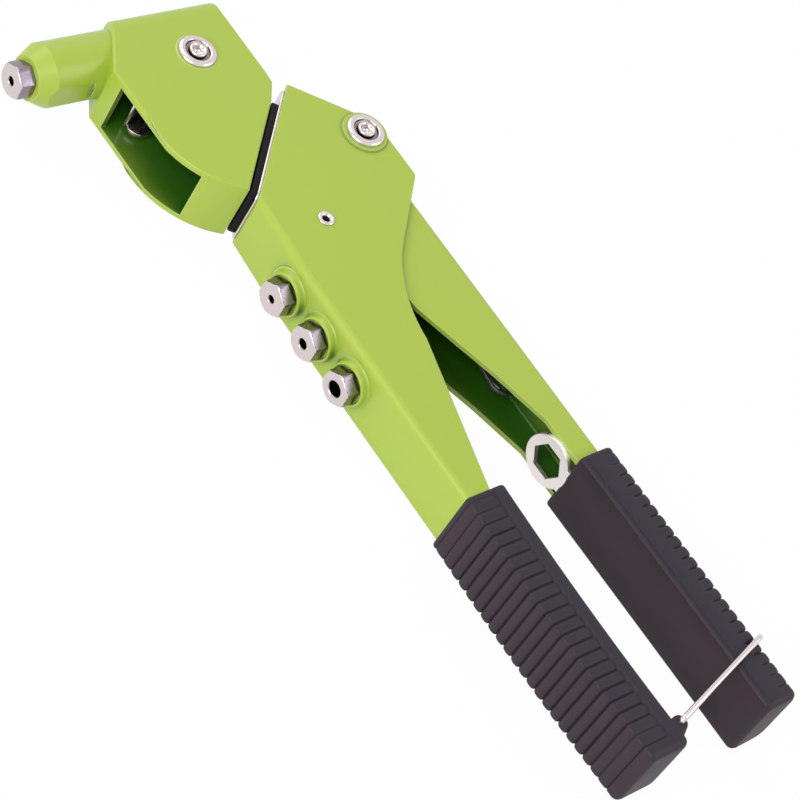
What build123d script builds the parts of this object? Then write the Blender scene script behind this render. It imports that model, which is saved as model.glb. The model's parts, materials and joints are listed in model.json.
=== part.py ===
from build123d import *
import math
import os

# Hand riveter with a swivelling head, handles shut and latched.
# Millimetres. +X runs from the head to the handle ends, +Y from the fixed handle to the
# moving one, +Z is the upper flat side. Z = 0 is the middle plane. All places are first
# measured from the main pivot; the finished pieces are then moved so that the rivet hole in
# the fitted nosepiece is the origin.

# ---- driving dimensions ----------------------------------------------------------------
body_width = 22.0            # outside, over the two walls of the body
body_wall = 1.8
bend_radius = 2.4            # outside bend of the pressed sheet
run_gap = 0.05               # radial running clearance of a pin in its hole
loose_gap = 0.3              # between faces that pass each other

swivel_angle = 223.5         # direction of the swivel axis, towards the head
swivel_x, swivel_y = -7.9, -30.5     # a point on the swivel axis
body_front = -0.4            # body's front face, along the axis from that point
front_reach = 23.0           # from the axis to the top of that face, in the XY plane
front_depth = 26.8           # from the axis to its bottom, at the narrow back
swivel_plate_thick = 0.8
plate_corner = 3.0
swivel_gap = 2.5             # between the swivel plate and the head
washer_radius = 9.0

nose_angle = 265.5           # direction of the nose, from the head
nose_x, nose_y = -55.4, -69.0        # a point on the nose axis
barrel_radius = 9.7
barrel_cone = 5.0
barrel_end = 15.8            # barrel's front face, along the nose from that point
nosepiece_flats = 10.0
nosepiece_hex = 5.3          # length of a nosepiece's hexagon
thread_radius = 3.5
thread_length = 6.0
fitted_hole = 2.7
spare_holes = {"2_4": 2.4, "3_2": 3.2, "4_8": 5.0}

head_wall = 2.0
head_back_y = -17.2          # head's back wall
head_front_y = -65.3         # head's front wall
head_slant = 33.0            # turn of the wall that carries the barrel
head_side = 9.6              # from the nose axis to the head's side towards -X
head_bend = 6.5
head_corner = 2.5            # back corner of the side view
head_edge = 0.7              # rounded edges of the two flat sides
window_from, window_to = -39.2, -3.4  # X of the window in the front wall

pin_flange = 6.1             # radius of the flanges of the two big pins
pin_flange_thick = 1.3
pin_radius = 4.0
head_pin_x, head_pin_y = -42.6, -35.1

handle_open_angle = 30.0
channel_wall = 1.6
channel_gap = 0.35           # between the moving channel and the body walls, each side
channel_outer_y = 2.1        # moving handle's outer face
fixed_grip_start, fixed_grip_end = 119.8, 210.0
moving_grip_start, moving_grip_end = 121.9, 212.1
grip_thick = 24.0
fixed_grip_width = 15.2
moving_grip_width = 13.6
fixed_grip_edge = 1.6        # edges of the ribbed side
moving_grip_edge = 3.0
grip_rib_pitch = 3.8
grip_rib_depth = 1.0

wire = 1.8                   # latch wire diameter
latch_x, latch_y = 203.6, -37.6      # latch hinge
latch_reach_x = 192.0        # X of the latch bar

# ---- derived ---------------------------------------------------------------------------
half = body_width / 2
inner_half = half - body_wall
channel_half = inner_half - channel_gap
axis_dir = Vector(math.cos(math.radians(swivel_angle)), math.sin(math.radians(swivel_angle)), 0)
nose_dir = Vector(math.cos(math.radians(nose_angle)), math.sin(math.radians(nose_angle)), 0)
swivel_origin = Vector(swivel_x, swivel_y, 0)
nose_origin = Vector(nose_x, nose_y, 0)
swivel = Plane(origin=swivel_origin, x_dir=(0, 0, 1), z_dir=axis_dir)
nose = Plane(origin=nose_origin, x_dir=(0, 0, 1), z_dir=nose_dir)


def at(plane, distance):
    """The plane moved along its own normal."""
    return plane.offset(distance)


def rod(plane, start, end, radius, bore=0.0):
    """A round bar along the plane's normal, from start to end, bored right through."""
    bar = extrude(at(plane, start) * Circle(radius), end - start)
    if bore > 0:
        bar -= extrude(at(plane, start - 1) * Circle(bore), end - start + 2)
    return bar


def upright(x, y, low, high, radius, bore=0.0):
    """A round bar along Z."""
    return rod(Plane(origin=(x, y, 0), z_dir=(0, 0, 1)), low, high, radius, bore)


def slab(points, low, high):
    """A flat plate between two heights, with a closed outline of straight edges."""
    outline = make_face(Polyline(*points, close=True))
    return extrude(Plane.XY.offset(low) * outline, high - low)


def across(distance):
    """A point's offset from the swivel axis, in the XY plane."""
    return Vector(-axis_dir.Y, axis_dir.X, 0) * distance


def on_axis(distance, side=0.0):
    """A point by its distance along the swivel axis and its offset from it."""
    return swivel_origin + axis_dir * distance + across(side)


def on_nose(distance, side=0.0):
    """A point by its distance along the nose axis and its offset towards +X."""
    return nose_origin + nose_dir * distance + Vector(-nose_dir.Y, nose_dir.X, 0) * side


parts = {}

# ---- main pivot, push rod and lever: the closed rest places -----------------------------
# The rod runs along the swivel axis. The handle's arm pushes its rear end and it pushes
# the head lever. Both arms swing evenly about their square position, so the travel is
# nearly in proportion to the angle.
pivot_along = (Vector(0, 0, 0) - swivel_origin).dot(axis_dir)
pivot_side = (Vector(0, 0, 0) - swivel_origin).dot(across(1))
arm_length = abs(pivot_side) * 1.02
arm_nose = 4.0
arm_lead = math.radians(handle_open_angle / 2)
arm_tip = on_axis(pivot_along + arm_length * math.sin(arm_lead),
                  pivot_side + arm_length * math.cos(arm_lead))
rod_travel = 2 * arm_length * math.sin(arm_lead)

head_pin = Vector(head_pin_x, head_pin_y, 0)
pin_along = (head_pin - swivel_origin).dot(axis_dir)
pin_side = (head_pin - swivel_origin).dot(across(1))
lever_length = abs(pin_side) * 1.03
lever_nose = 4.2
lever_lead = 22.0
lever_back = math.degrees(math.asin(math.sin(math.radians(lever_lead)) - rod_travel / lever_length))
lever_swing = lever_lead - lever_back
lever_tip = on_axis(pin_along + lever_length * math.sin(math.radians(lever_lead)),
                    pin_side + lever_length * math.cos(math.radians(lever_lead)))

short_arm = (head_pin - nose_origin).dot(Vector(-nose_dir.Y, nose_dir.X, 0))
pin_on_nose = (head_pin - nose_origin).dot(nose_dir)
jaw_travel = 2 * short_arm * math.sin(math.radians(lever_swing / 2))
peg_on_nose = pin_on_nose - jaw_travel / 2
peg_side = short_arm * (1 - math.cos(math.radians(lever_swing / 2)))

rod_gap = 0.7                # between the closed arm and the rod, room for the arm's flank
rod_rear = pivot_along + arm_length * math.sin(arm_lead) + arm_nose + rod_gap
rod_front = pin_along + lever_length * math.sin(math.radians(lever_lead)) - lever_nose - loose_gap
rod_radius = 3.0

# ---- body ------------------------------------------------------------------------------
ear_radius = 7.6
ear_top = 6.5
ear_end = 18.8
ear_round = 3.0
lip_turn_x, lip_turn_y = 38.0, -13.2
lip_low_x, lip_low_y = 70.0, -28.8
body_tail = fixed_grip_end - 8.8
tang_top_front, tang_top_back = -43.6, -44.6
web_knee_x, web_knee_y = 36.0, -51.6
web_tail_y = -52.6           # from the grip's front end on
front_top = on_axis(body_front, -front_reach)
front_low = on_axis(body_front, front_depth)
side_slope = axis_dir.Y / axis_dir.X


def body_outline():
    """The body's side view: slanted front, pivot ear, falling lip, tang and narrow back."""
    ear_start = front_top.X + (ear_top - front_top.Y) / side_slope
    top = [(front_top.X, front_top.Y), (ear_start, ear_top), (ear_end, ear_top),
           (lip_turn_x, lip_turn_y)]
    lip = FilletPolyline(*top, radius=ear_round)
    fall = TangentArc((lip_turn_x, lip_turn_y), (lip_low_x, lip_low_y),
                      tangent=(lip_turn_x - ear_end, lip_turn_y - ear_top))
    rest = Polyline((lip_low_x, lip_low_y), (fixed_grip_start + 1, tang_top_front),
                    (body_tail, tang_top_back), (body_tail, web_tail_y),
                    (fixed_grip_start, web_tail_y), (web_knee_x, web_knee_y),
                    (front_low.X, front_low.Y),
                    (front_top.X, front_top.Y))
    return make_face([lip, fall, rest])


def pressed_shell(outline, cavity, thickness_half, wall, bend, bend_filter):
    """A folded sheet: the outline's slab, bent edges rounded, less the same inside."""
    outer = extrude(Plane.XY.offset(-thickness_half) * outline, 2 * thickness_half)
    outer = fillet(bend_filter(outer.edges()), bend)
    inner_bottom = wall - thickness_half
    inner = extrude(Plane.XY.offset(inner_bottom) * cavity, -2 * inner_bottom)
    inner = fillet(bend_filter(inner.edges()), bend - wall)
    return outer - inner, outer


def web_edges(edges):
    """The long bent edges of the body, along its narrow back."""
    return [e for e in edges if abs(e.center().Z) > 1 and e.center().Y < web_knee_y + 4
            and e.length > 12 and abs(e.tangent_at(0.5).Z) < 0.1
            and abs(e.tangent_at(0.5).X) > 0.9]


def body_cavity():
    """The space between the walls, open along the lip, at the front and at the tail."""
    tail_x = body_tail + 20
    knee = Vector(web_knee_x, web_knee_y + body_wall, 0)
    front = Vector(front_low.X, front_low.Y + body_wall, 0)
    ahead = front + (front - knee).normalized() * 40
    return make_face(Polyline((ahead.X, ahead.Y), (knee.X, knee.Y),
                              (fixed_grip_start, web_tail_y + body_wall), (tail_x, web_tail_y + body_wall),
                              (tail_x, 60), (ahead.X, 60), close=True))


body, body_core = pressed_shell(body_outline(), body_cavity(), half, body_wall, bend_radius, web_edges)
for side in (-1, 1):
    low = inner_half if side > 0 else -half
    body += upright(0, 0, low, low + body_wall, ear_radius)
pad_radius, pad_height = 9.4, 0.5
rivet_x, rivet_y, rivet_radius, rivet_bore = 23.2, -32.8, 1.9, 1.1
boss_radius, boss_height = 6.6, 1.5
boss_first_x, boss_pitch = 36.5, 16.6
web_slope = (web_tail_y - web_knee_y) / (fixed_grip_start - web_knee_x)


def web_y(x):
    """The outer face of the body's narrow back."""
    return web_knee_y + web_slope * (x - web_knee_x)


def boss_plane(index):
    """The face of one nosepiece boss on the narrow back, looking out of it."""
    x = boss_first_x + index * boss_pitch
    return Plane(origin=(x, web_y(x) - boss_height, 0), x_dir=(0, 0, 1), z_dir=(0, -1, 0))


def hex_face(flats):
    """A hexagon, by the distance across its flats."""
    return RegularPolygon(flats / 2, 6, major_radius=False)


for z_low in (half - 0.2, -half - pad_height):
    body += upright(0, 0, z_low, z_low + pad_height + 0.2, ear_radius - 0.3)
body -= upright(0, 0, -half - 2, half + 2, pin_radius + run_gap)
body -= upright(rivet_x, rivet_y, -half - 2, half + 2, rivet_radius)
for index in range(len(spare_holes)):
    face = boss_plane(index)
    body += rod(face, -boss_height - body_wall, 0, boss_radius)
    body -= rod(face, -boss_height - body_wall - 3, 1, thread_radius)
parts["body_shell"] = body

plate_half = half - 0.4
plate = extrude(at(swivel, body_front) * Pos(0, (front_reach - front_depth) / 2 + 0.4)
                * Rectangle(2 * plate_half, front_reach + front_depth - 1.6), swivel_plate_thick)
plate = fillet([e for e in plate.edges() if abs(e.tangent_at(0.5).dot(axis_dir)) > 0.9], plate_corner)
tongue_depth, tongue_wall = 6.0, 0.8
tongue = extrude(at(swivel, body_front - tongue_depth) * Rectangle(2 * inner_half, 2 * (front_reach - 5)),
                 tongue_depth)
tongue -= extrude(at(swivel, body_front - tongue_depth - 1)
                  * Rectangle(2 * (inner_half - tongue_wall), 2 * (front_reach - 5) - 5), tongue_depth + 1)
spigot_radius = 6.0
plate = plate + tongue - rod(swivel, body_front - 8, body_front + 4, spigot_radius + run_gap)
parts["swivel_plate"] = plate

head_rear = body_front + swivel_plate_thick + swivel_gap
washer_low = body_front + swivel_plate_thick + loose_gap
parts["swivel_washer"] = rod(swivel, washer_low, head_rear, washer_radius, spigot_radius)
ring_radius = inner_half - tongue_wall - 0.4
spigot_tail = body_front - 3.2
parts["swivel_spigot"] = rod(swivel, spigot_tail, head_rear + head_wall + 3, spigot_radius,
                             rod_radius + run_gap)
parts["swivel_ring"] = rod(swivel, spigot_tail, body_front - loose_gap - 0.2, ring_radius,
                           spigot_radius)
rod_core = rod(swivel, rod_rear + rod_radius, rod_front, rod_radius)
rod_front_edge = rod_core.edges().sort_by(lambda edge: (edge.center() - swivel_origin).dot(axis_dir))[-1]
rod_core = fillet(rod_front_edge, 0.6)
rod_ball = on_axis(rod_rear + rod_radius)
parts["push_rod"] = rod_core + Pos(rod_ball.X, rod_ball.Y, 0) * Sphere(rod_radius)


def flanged_pin(x, y, low, high):
    """A shouldered pin with a flange and a staked middle on the upper side."""
    pin = upright(x, y, low, high, pin_radius)
    flange = upright(x, y, high, high + pin_flange_thick, pin_flange)
    flange = fillet(flange.edges().group_by(Axis.Z)[-1], 0.5)
    stake = upright(x, y, high + pin_flange_thick, high + pin_flange_thick + 0.5, 3.5)
    return pin + flange + fillet(stake.edges().group_by(Axis.Z)[-1], 0.3)


def pin_washer(x, y, top):
    """The flange pressed on a pin's lower end."""
    return upright(x, y, top - pin_flange_thick, top, pin_flange, pin_radius)


pin_low = -half - pad_height - pin_flange_thick
parts["main_pivot_pin"] = flanged_pin(0, 0, pin_low, half + pad_height)
parts["main_pivot_washer"] = pin_washer(0, 0, -half - pad_height)
rivet_roll, rivet_rise = 0.8, 0.7    # how far the rolled ends stand out and up
parts["spring_anchor_rivet"] = upright(rivet_x, rivet_y, -half - rivet_rise, half + rivet_rise, rivet_radius,
                                       rivet_bore)
for low in (half, -half - rivet_rise):
    parts["spring_anchor_rivet"] += upright(rivet_x, rivet_y, low, low + rivet_rise,
                                            rivet_radius + rivet_roll, rivet_bore)


def nosepiece(face, hole):
    """A hexagon head with a threaded shank, bored for one size of rivet pin."""
    piece = extrude(face * hex_face(nosepiece_flats), nosepiece_hex)
    crown = rod(face, -1, nosepiece_hex, nosepiece_flats / math.sqrt(3) + 0.1)
    crown = chamfer([e for e in crown.edges()
                     if abs((e.center() - face.origin).dot(face.z_dir) - nosepiece_hex) < 0.01], 0.7)
    piece = (piece & crown) + rod(face, -thread_length, 0, thread_radius)
    return piece - rod(face, -thread_length - 1, nosepiece_hex + 1, hole / 2)


for index, (name, hole) in enumerate(spare_holes.items()):
    parts["spare_nosepiece_" + name] = nosepiece(boss_plane(index), hole)

# ---- head ------------------------------------------------------------------------------
slant = math.radians(head_slant)
head_low = on_axis(head_rear, front_reach + 0.6)
head_shoulder = on_axis(head_rear, -front_reach + 9.0)
head_top = on_axis(head_rear + 1.2, -front_reach + 1.2)
head_crop = 4.0              # from the swivel face back to the head's back corner
bend_x = -44.5
slant_end_x = -70.0
sweep_x = -15.5
belly_x, belly_y = -4.6, -61.0    # a point on the head's lower curve


def head_outline():
    """The head's side view, closed: front, slanted wall, back, swivel face, lower curve."""
    left_front = (slant_end_x, head_front_y + (bend_x - slant_end_x) * math.tan(slant))
    edge = Polyline((sweep_x, head_front_y), (bend_x, head_front_y), left_front,
                    (on_nose(-49, -head_side - 3).X, head_back_y), (head_top.X - head_crop, head_back_y),
                    (head_top.X, head_top.Y), (head_shoulder.X, head_shoulder.Y),
                    (head_low.X, head_low.Y))
    belly = ThreePointArc((head_low.X, head_low.Y), (belly_x, belly_y), (sweep_x, head_front_y))
    face = make_face([edge, belly])
    corners = [v for v in face.vertices()
               if math.dist((v.X, v.Y), (head_top.X - head_crop, head_back_y)) < 0.01]
    return fillet(corners, head_corner)


outline = head_outline()
head = extrude(Plane.XY.offset(-half) * outline, 2 * half)
head = fillet([e for e in head.edges() if abs(e.center().Z) > half - 0.01], head_edge)
cavity_face = offset(outline, -head_wall, kind=Kind.INTERSECTION)
cavity = extrude(Plane.XY.offset(-half + head_wall) * cavity_face, 2 * (half - head_wall))
# the side towards -X is parallel to the barrel, with a broad bend at each edge


def nose_block(reach, height, bend):
    """A long bar along the nose, with its two edges towards -X rounded."""
    side = extrude(at(nose, -60) * Pos(0, reach - 40) * Rectangle(2 * height, 80), 90)
    edges = [e for e in side.edges() if abs(e.tangent_at(0.5).dot(nose_dir)) > 0.9
             and (e.center() - nose_origin).dot(nose.y_dir) > 0]
    return fillet(edges, bend)


head = head & nose_block(head_side, half, head_bend)
cavity = cavity & nose_block(head_side - head_wall, half - head_wall, head_bend - head_wall)
head -= cavity
window = slab([(window_from, head_front_y - 5), (window_to, head_front_y - 5), (window_to, -50),
               (window_to - 12, -57.5), (window_from, head_front_y + head_wall + 0.5)],
              -half + head_wall, half - head_wall)
head -= window
neck_radius = 7.8
barrel_start = -20.5          # rear end of the barrel's neck, along the nose
head -= rod(nose, barrel_start - 3, 14, neck_radius)
head -= rod(swivel, head_rear - 1, head_rear + head_wall + 1, spigot_radius)
head -= upright(head_pin_x, head_pin_y, -half - 2, half + 2, pin_radius)
parts["head_shell"] = head

# ---- nose barrel -----------------------------------------------------------------------
case_radius = 6.0
barrel_inner = case_radius + loose_gap
barrel = rod(nose, barrel_start, barrel_end - barrel_cone, barrel_radius)
cone_radius = 6.9
cone = loft([at(nose, barrel_end - barrel_cone) * Circle(barrel_radius),
             at(nose, barrel_end) * Circle(cone_radius)])
barrel += cone
flat_half = barrel_radius - 0.9
flats = extrude(at(nose, -2.0) * Rectangle(40, 2 * flat_half), 30)
barrel = (barrel & flats) + (barrel & rod(nose, barrel_start - 1, -2.0, barrel_radius + 1))
# behind the slanted wall only the neck goes on
barrel_body = barrel - extrude(Plane.XY.offset(-half - 1) * outline, 2 * half + 2)
neck = rod(nose, barrel_start + 1.0, 4, neck_radius)
barrel = barrel_body + neck
barrel -= rod(nose, barrel_start - 3, barrel_end - thread_length - 0.5, barrel_inner)
barrel -= rod(nose, barrel_end - thread_length - 1, barrel_end + 1, thread_radius)
parts["nose_barrel"] = barrel
nose_tip = at(nose, barrel_end)
parts["fitted_nosepiece"] = nosepiece(nose_tip, fitted_hole)

# ---- jaw unit, drawn back ----------------------------------------------------------------
jaw_front = barrel_end - thread_length - loose_gap - 0.2 - jaw_travel
case_wall = 1.2
neck_small = 4.2
peg_radius = 2.2
groove_half = peg_radius + loose_gap + 0.1
case = rod(nose, peg_on_nose + groove_half, jaw_front, case_radius)
case += rod(nose, peg_on_nose - groove_half, peg_on_nose + groove_half, neck_small)
case += rod(nose, peg_on_nose - groove_half - 2.5, peg_on_nose - groove_half, case_radius)
bore_small = 2.0
case -= rod(nose, peg_on_nose - 20, jaw_front - 4, bore_small)
spring_room = peg_on_nose + groove_half + 3
jaw_room = jaw_front - 13
case -= rod(nose, spring_room, jaw_room, case_radius - case_wall)
taper = loft([at(nose, jaw_room) * Circle(case_radius - case_wall),
              at(nose, jaw_front + 0.01) * Circle(3.2)])
case -= taper
parts["jaw_case"] = case
jaws = loft([at(nose, jaw_room + 2) * Circle(case_radius - case_wall - 0.55),
             at(nose, jaw_front - 0.5) * Circle(2.95)])
jaws -= rod(nose, jaw_room, jaw_front + 1, 0.8)
jaws -= extrude(at(nose, jaw_room) * Rectangle(0.5, 30), 20)
parts["jaws"] = jaws
pusher = rod(nose, jaw_room - 6, jaw_room + 1.7, 3.4, 1.5) + rod(nose, jaw_room - 1.6, jaw_room, 4.4, 1.5)
parts["jaw_pusher"] = pusher
coil_wire = 0.8
spring_length = jaw_room - 1.7 - spring_room - 0.1


def coil(plane, start, length, radius, turns, thickness):
    """A helical spring along the plane's normal."""
    path = Helix(pitch=length / turns, height=length, radius=radius)
    placed = at(plane, start).location * path
    section = Plane(origin=placed @ 0, z_dir=placed % 0) * Circle(thickness / 2)
    return sweep(section, path=placed, is_frenet=True)


parts["jaw_spring"] = coil(nose, spring_room + coil_wire / 2 + 0.05, spring_length - coil_wire - 0.1,
                           case_radius - case_wall - coil_wire / 2 - 0.2, 6, coil_wire)

# ---- head lever ----------------------------------------------------------------------------
cheek_out = half - head_wall - 3 * loose_gap
cheek_in = case_radius + 0.4
short_tip = on_nose(peg_on_nose, peg_side)


def hull_plate(stations, low, high):
    """A flat link: round ends of given radii joined by their outer tangents."""
    plate = Part()
    for x, y, radius in stations:
        plate += upright(x, y, low, high, radius)
    for (x0, y0, r0), (x1, y1, r1) in zip(stations, stations[1:]):
        heading = math.atan2(y1 - y0, x1 - x0)
        gap = math.hypot(x1 - x0, y1 - y0)
        lean = math.acos((r0 - r1) / gap)
        corners = [(x0 + r0 * math.cos(heading + lean), y0 + r0 * math.sin(heading + lean)),
                   (x1 + r1 * math.cos(heading + lean), y1 + r1 * math.sin(heading + lean)),
                   (x1 + r1 * math.cos(heading - lean), y1 + r1 * math.sin(heading - lean)),
                   (x0 + r0 * math.cos(heading - lean), y0 + r0 * math.sin(heading - lean))]
        plate += slab(corners, low, high)
    return plate


lever = Part()
stations = [(short_tip.X, short_tip.Y, 2.6), (head_pin_x, head_pin_y, 7.0),
            (lever_tip.X, lever_tip.Y, lever_nose)]
for low, high in ((cheek_in, cheek_out), (-cheek_out, -cheek_in)):
    lever += hull_plate(stations, low, high)
lever += upright(lever_tip.X, lever_tip.Y, -cheek_out, cheek_out, lever_nose)
for low, high in ((4.5, cheek_in), (-cheek_in, -4.5)):
    lever += upright(short_tip.X, short_tip.Y, low, high, peg_radius)
lever -= upright(head_pin_x, head_pin_y, -half, half, pin_radius + run_gap)
parts["head_lever"] = lever
parts["head_pin"] = flanged_pin(head_pin_x, head_pin_y, pin_low + pad_height, half)
parts["head_pin_washer"] = pin_washer(head_pin_x, head_pin_y, -half)

# ---- moving handle ---------------------------------------------------------------------------
channel_bend = 2.4
arm_ear = 6.2
channel_tail = moving_grip_end - 8.3
channel_front = 20.0
lip_y = -8.0                 # straight stretch of the channel's lip, under the grip
lip_points = [(channel_tail, lip_y), (106, lip_y), (88, -13.0), (59, -22.8), (44, -25.0)]


def channel_outline():
    """The moving handle's side view: straight outer face and a lip that deepens forward."""
    points = [(channel_front, channel_outer_y), (channel_tail, channel_outer_y)]
    points += lip_points
    points += [(16, -19.0), (0, -arm_ear)]
    points += [(0, channel_outer_y)]
    return make_face(Polyline(*points, close=True))


def channel_edges(edges):
    """The long bent edges of the channel, along its outer face."""
    return [e for e in edges if abs(e.center().Z) > 1 and e.center().Y > channel_outer_y - 2.0
            and e.length > 30 and abs(e.tangent_at(0.5).X) > 0.9]


def channel_cavity():
    """The inside of the channel, open towards -Y, at the front and at the tail."""
    return make_face(Polyline((channel_front - 60, channel_outer_y - channel_wall),
                              (channel_tail + 20, channel_outer_y - channel_wall),
                              (channel_tail + 20, -90), (channel_front - 60, -90), close=True))


channel, channel_core = pressed_shell(channel_outline(), channel_cavity(), channel_half, channel_wall,
                                      channel_bend, channel_edges)
web_cut = channel_outer_y - channel_wall - 0.6
channel -= slab([(-40, web_cut), (channel_front, web_cut), (channel_front, 30), (-40, 30)], -half, half)
for low in (-channel_half, channel_half - channel_wall):
    channel += upright(0, 0, low, low + channel_wall, arm_ear)
channel -= upright(0, 0, -half - 2, half + 2, pin_radius + run_gap)
arm_rivet_x, arm_rivet_y, arm_rivet_radius = 24.0, -11.0, 2.5
channel -= upright(arm_rivet_x, arm_rivet_y, -half, half, arm_rivet_radius)
parts["moving_handle"] = channel
spring_wire, spring_turns = 1.3, 2
spring_side_gap = 0.65
arm_half = channel_half - channel_wall - spring_turns * spring_wire - spring_side_gap
arm = hull_plate([(arm_rivet_x, arm_rivet_y, 5.0), (0, 0, 7.2), (arm_tip.X, arm_tip.Y, arm_nose)],
                 -arm_half, arm_half)
arm += slab([(0, 0), (arm_rivet_x, arm_rivet_y), (arm_tip.X, arm_tip.Y)], -arm_half, arm_half)
arm -= upright(0, 0, -half, half, pin_radius + run_gap)
arm -= upright(arm_rivet_x, arm_rivet_y, -half, half, arm_rivet_radius)
parts["handle_arm"] = arm
parts["arm_rivet"] = upright(arm_rivet_x, arm_rivet_y, -channel_half, channel_half, arm_rivet_radius)
spacer_out = channel_half - channel_wall - 0.7
parts["arm_spacer"] = upright(0, 0, -spacer_out, -arm_half - 0.1, 6.0, pin_radius + run_gap)

# ---- return spring: two turns round the pivot, one leg curled inside the channel ---------------
spring_radius = 5.6
leg_ring_x, leg_ring_y, leg_ring_radius = 86.8, -5.3, 4.3
leg_bend_x, leg_bend_y = 36.0, -8.0
leg_height = 0.5
spring = Part()
for turn in range(spring_turns):
    spring += Pos(0, 0, arm_half + 0.8 + turn * (spring_wire - 0.02)) * Torus(spring_radius, spring_wire / 2)


def bar(start, end, radius):
    """A round bar between two points, with ball ends."""
    start, end = Vector(*start), Vector(*end)
    straight = end - start
    body_bar = extrude(Plane(origin=start, z_dir=straight) * Circle(radius), straight.length)
    return body_bar + Pos(*start) * Sphere(radius) + Pos(*end) * Sphere(radius)


wire_half = spring_wire / 2
leg_top = arm_half + 0.8 + spring_wire - 0.02
spring += bar((0, -spring_radius, leg_top), (leg_bend_x, leg_bend_y, leg_top), wire_half)
spring += bar((leg_bend_x, leg_bend_y, leg_top),
              (leg_ring_x, leg_ring_y - leg_ring_radius, leg_height), wire_half)
spring += Pos(leg_ring_x, leg_ring_y, leg_height) * Torus(leg_ring_radius, wire_half)
spring += bar((-spring_radius, 0, arm_half + 0.8), (rivet_x - 6.0, rivet_y - 0.5, arm_half + 0.8), wire_half)
parts["return_spring"] = spring

# ---- wrench for the nosepieces, kept in the moving handle ------------------------------------
wrench_x, wrench_ring, wrench_thick = 114.6, 8.4, 1.6
wrench_flats = nosepiece_flats + 0.2
shank_width, shank_end, shank_step = 9.0, 176.0, 2.2
ring_plane = Plane(origin=(wrench_x, lip_y, 0), x_dir=(0, 0, 1), z_dir=(0, -1, 0))
wrench = rod(ring_plane, 0, wrench_thick, wrench_ring)
wrench -= extrude(at(ring_plane, -1) * Rot(0, 0, 30) * hex_face(wrench_flats), wrench_thick + 2)
step_x = wrench_x + wrench_ring - 1.2
shank_top = lip_y + shank_step
wrench += (Pos((step_x - 0.6 + shank_end) / 2, shank_top - wrench_thick / 2, 0)
           * Box(shank_end - step_x + 0.6, wrench_thick, shank_width))
wrench += (Pos(step_x, (shank_top + lip_y - wrench_thick) / 2, 0)
           * Box(1.6, shank_step + wrench_thick, shank_width))
parts["nosepiece_wrench"] = wrench

# ---- grips --------------------------------------------------------------------------------------
grip_half = grip_thick / 2
grip_round = 2.2
side_rib = 8.5               # how far the ribs run round on to the flat sides
fixed_grip_y, fixed_grip_turn, fixed_grip_bow = -37.9, -0.4, 1.1
moving_grip_y, moving_grip_turn, moving_grip_bow = -9.1, 0.35, 0.1


def ribbed_grip(length, width, edge, bow, outward):
    """A sleeve, its middle bowed outwards, with cross ribs round its outer side and a domed end."""
    def bowed(y):
        return ThreePointArc((0, outward * y), (length / 2, outward * (y + bow)), (length, outward * y))
    side = make_face([bowed(0), bowed(width), Line((0, 0), (0, outward * width)),
                      Line((length, 0), (length, outward * width))])
    sleeve = extrude(Plane.XY.offset(-grip_half) * side, grip_thick)
    long_edges = [e for e in sleeve.edges() if abs(e.tangent_at(0.5).X) > 0.9]
    sleeve = fillet([e for e in long_edges if abs(e.center().Y) > width / 2], edge)
    inner = [e for e in sleeve.edges() if abs(e.tangent_at(0.5).X) > 0.9 and abs(e.center().Y) < width / 4]
    sleeve = fillet(inner, grip_round)
    sleeve = fillet(sleeve.faces().sort_by(Axis.X)[-1].edges(), grip_round)
    cutter = grip_rib_depth * math.sqrt(2)
    for index in range(int((length - 8) / grip_rib_pitch) + 1):
        x = 4 + index * grip_rib_pitch
        across_half = 2 * x / length - 1
        reach = width + bow * (1 - across_half ** 2)
        sleeve -= Pos(x, outward * reach, 0) * Rot(0, 0, 45) * Box(cutter, cutter, grip_thick + 2)
        for side in (-1, 1):
            sleeve -= (Pos(x, outward * (reach - side_rib / 2), side * grip_half)
                       * Rot(0, 45, 0) * Box(cutter * 0.7, side_rib, cutter * 0.7))
    return sleeve


fixed_length = fixed_grip_end - fixed_grip_start
fixed_place = Pos(fixed_grip_start, fixed_grip_y, 0) * Rot(0, 0, fixed_grip_turn)
fixed_grip = fixed_place * ribbed_grip(fixed_length, fixed_grip_width, fixed_grip_edge, fixed_grip_bow, -1)
lug_radius = 2.4
fixed_grip += hull_plate([(latch_x, latch_y, lug_radius), (latch_x + 1.5, latch_y - 4, lug_radius + 0.8)],
                         -grip_half, grip_half)
fixed_grip -= body_core
fixed_grip -= slab([(fixed_grip_start - 5, tang_top_front - 0.01), (body_tail - 12, tang_top_back),
                    (body_tail - 12, web_tail_y + body_wall),
                    (fixed_grip_start - 5, web_y(fixed_grip_start) + body_wall)],
                   -inner_half, inner_half)
stub = 4.5
fixed_grip -= upright(latch_x, latch_y, grip_half - stub - 1, grip_half + 1, wire / 2 + run_gap)
fixed_grip -= upright(latch_x, latch_y, -grip_half - 1, -grip_half + stub + 1, wire / 2 + run_gap)
parts["fixed_grip"] = fixed_grip

moving_place = Pos(moving_grip_start, moving_grip_y, 0) * Rot(0, 0, moving_grip_turn)
moving_length = moving_grip_end - moving_grip_start
moving_grip = moving_place * ribbed_grip(moving_length, moving_grip_width, moving_grip_edge,
                                         moving_grip_bow, 1)
moving_grip -= channel_core
slot_low, slot_end = lip_y - wrench_thick - loose_gap, step_x + 1.2
moving_grip -= slab([(moving_grip_start - 6, slot_low), (slot_end, slot_low),
                     (slot_end, lip_y + 1), (moving_grip_start - 6, lip_y + 1)],
                    -shank_width / 2 - 0.3, shank_width / 2 + 0.3)
moving_grip -= rod(ring_plane, -0.3, wrench_thick + 3, wrench_ring + 0.3)
parts["moving_grip"] = moving_grip

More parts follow.
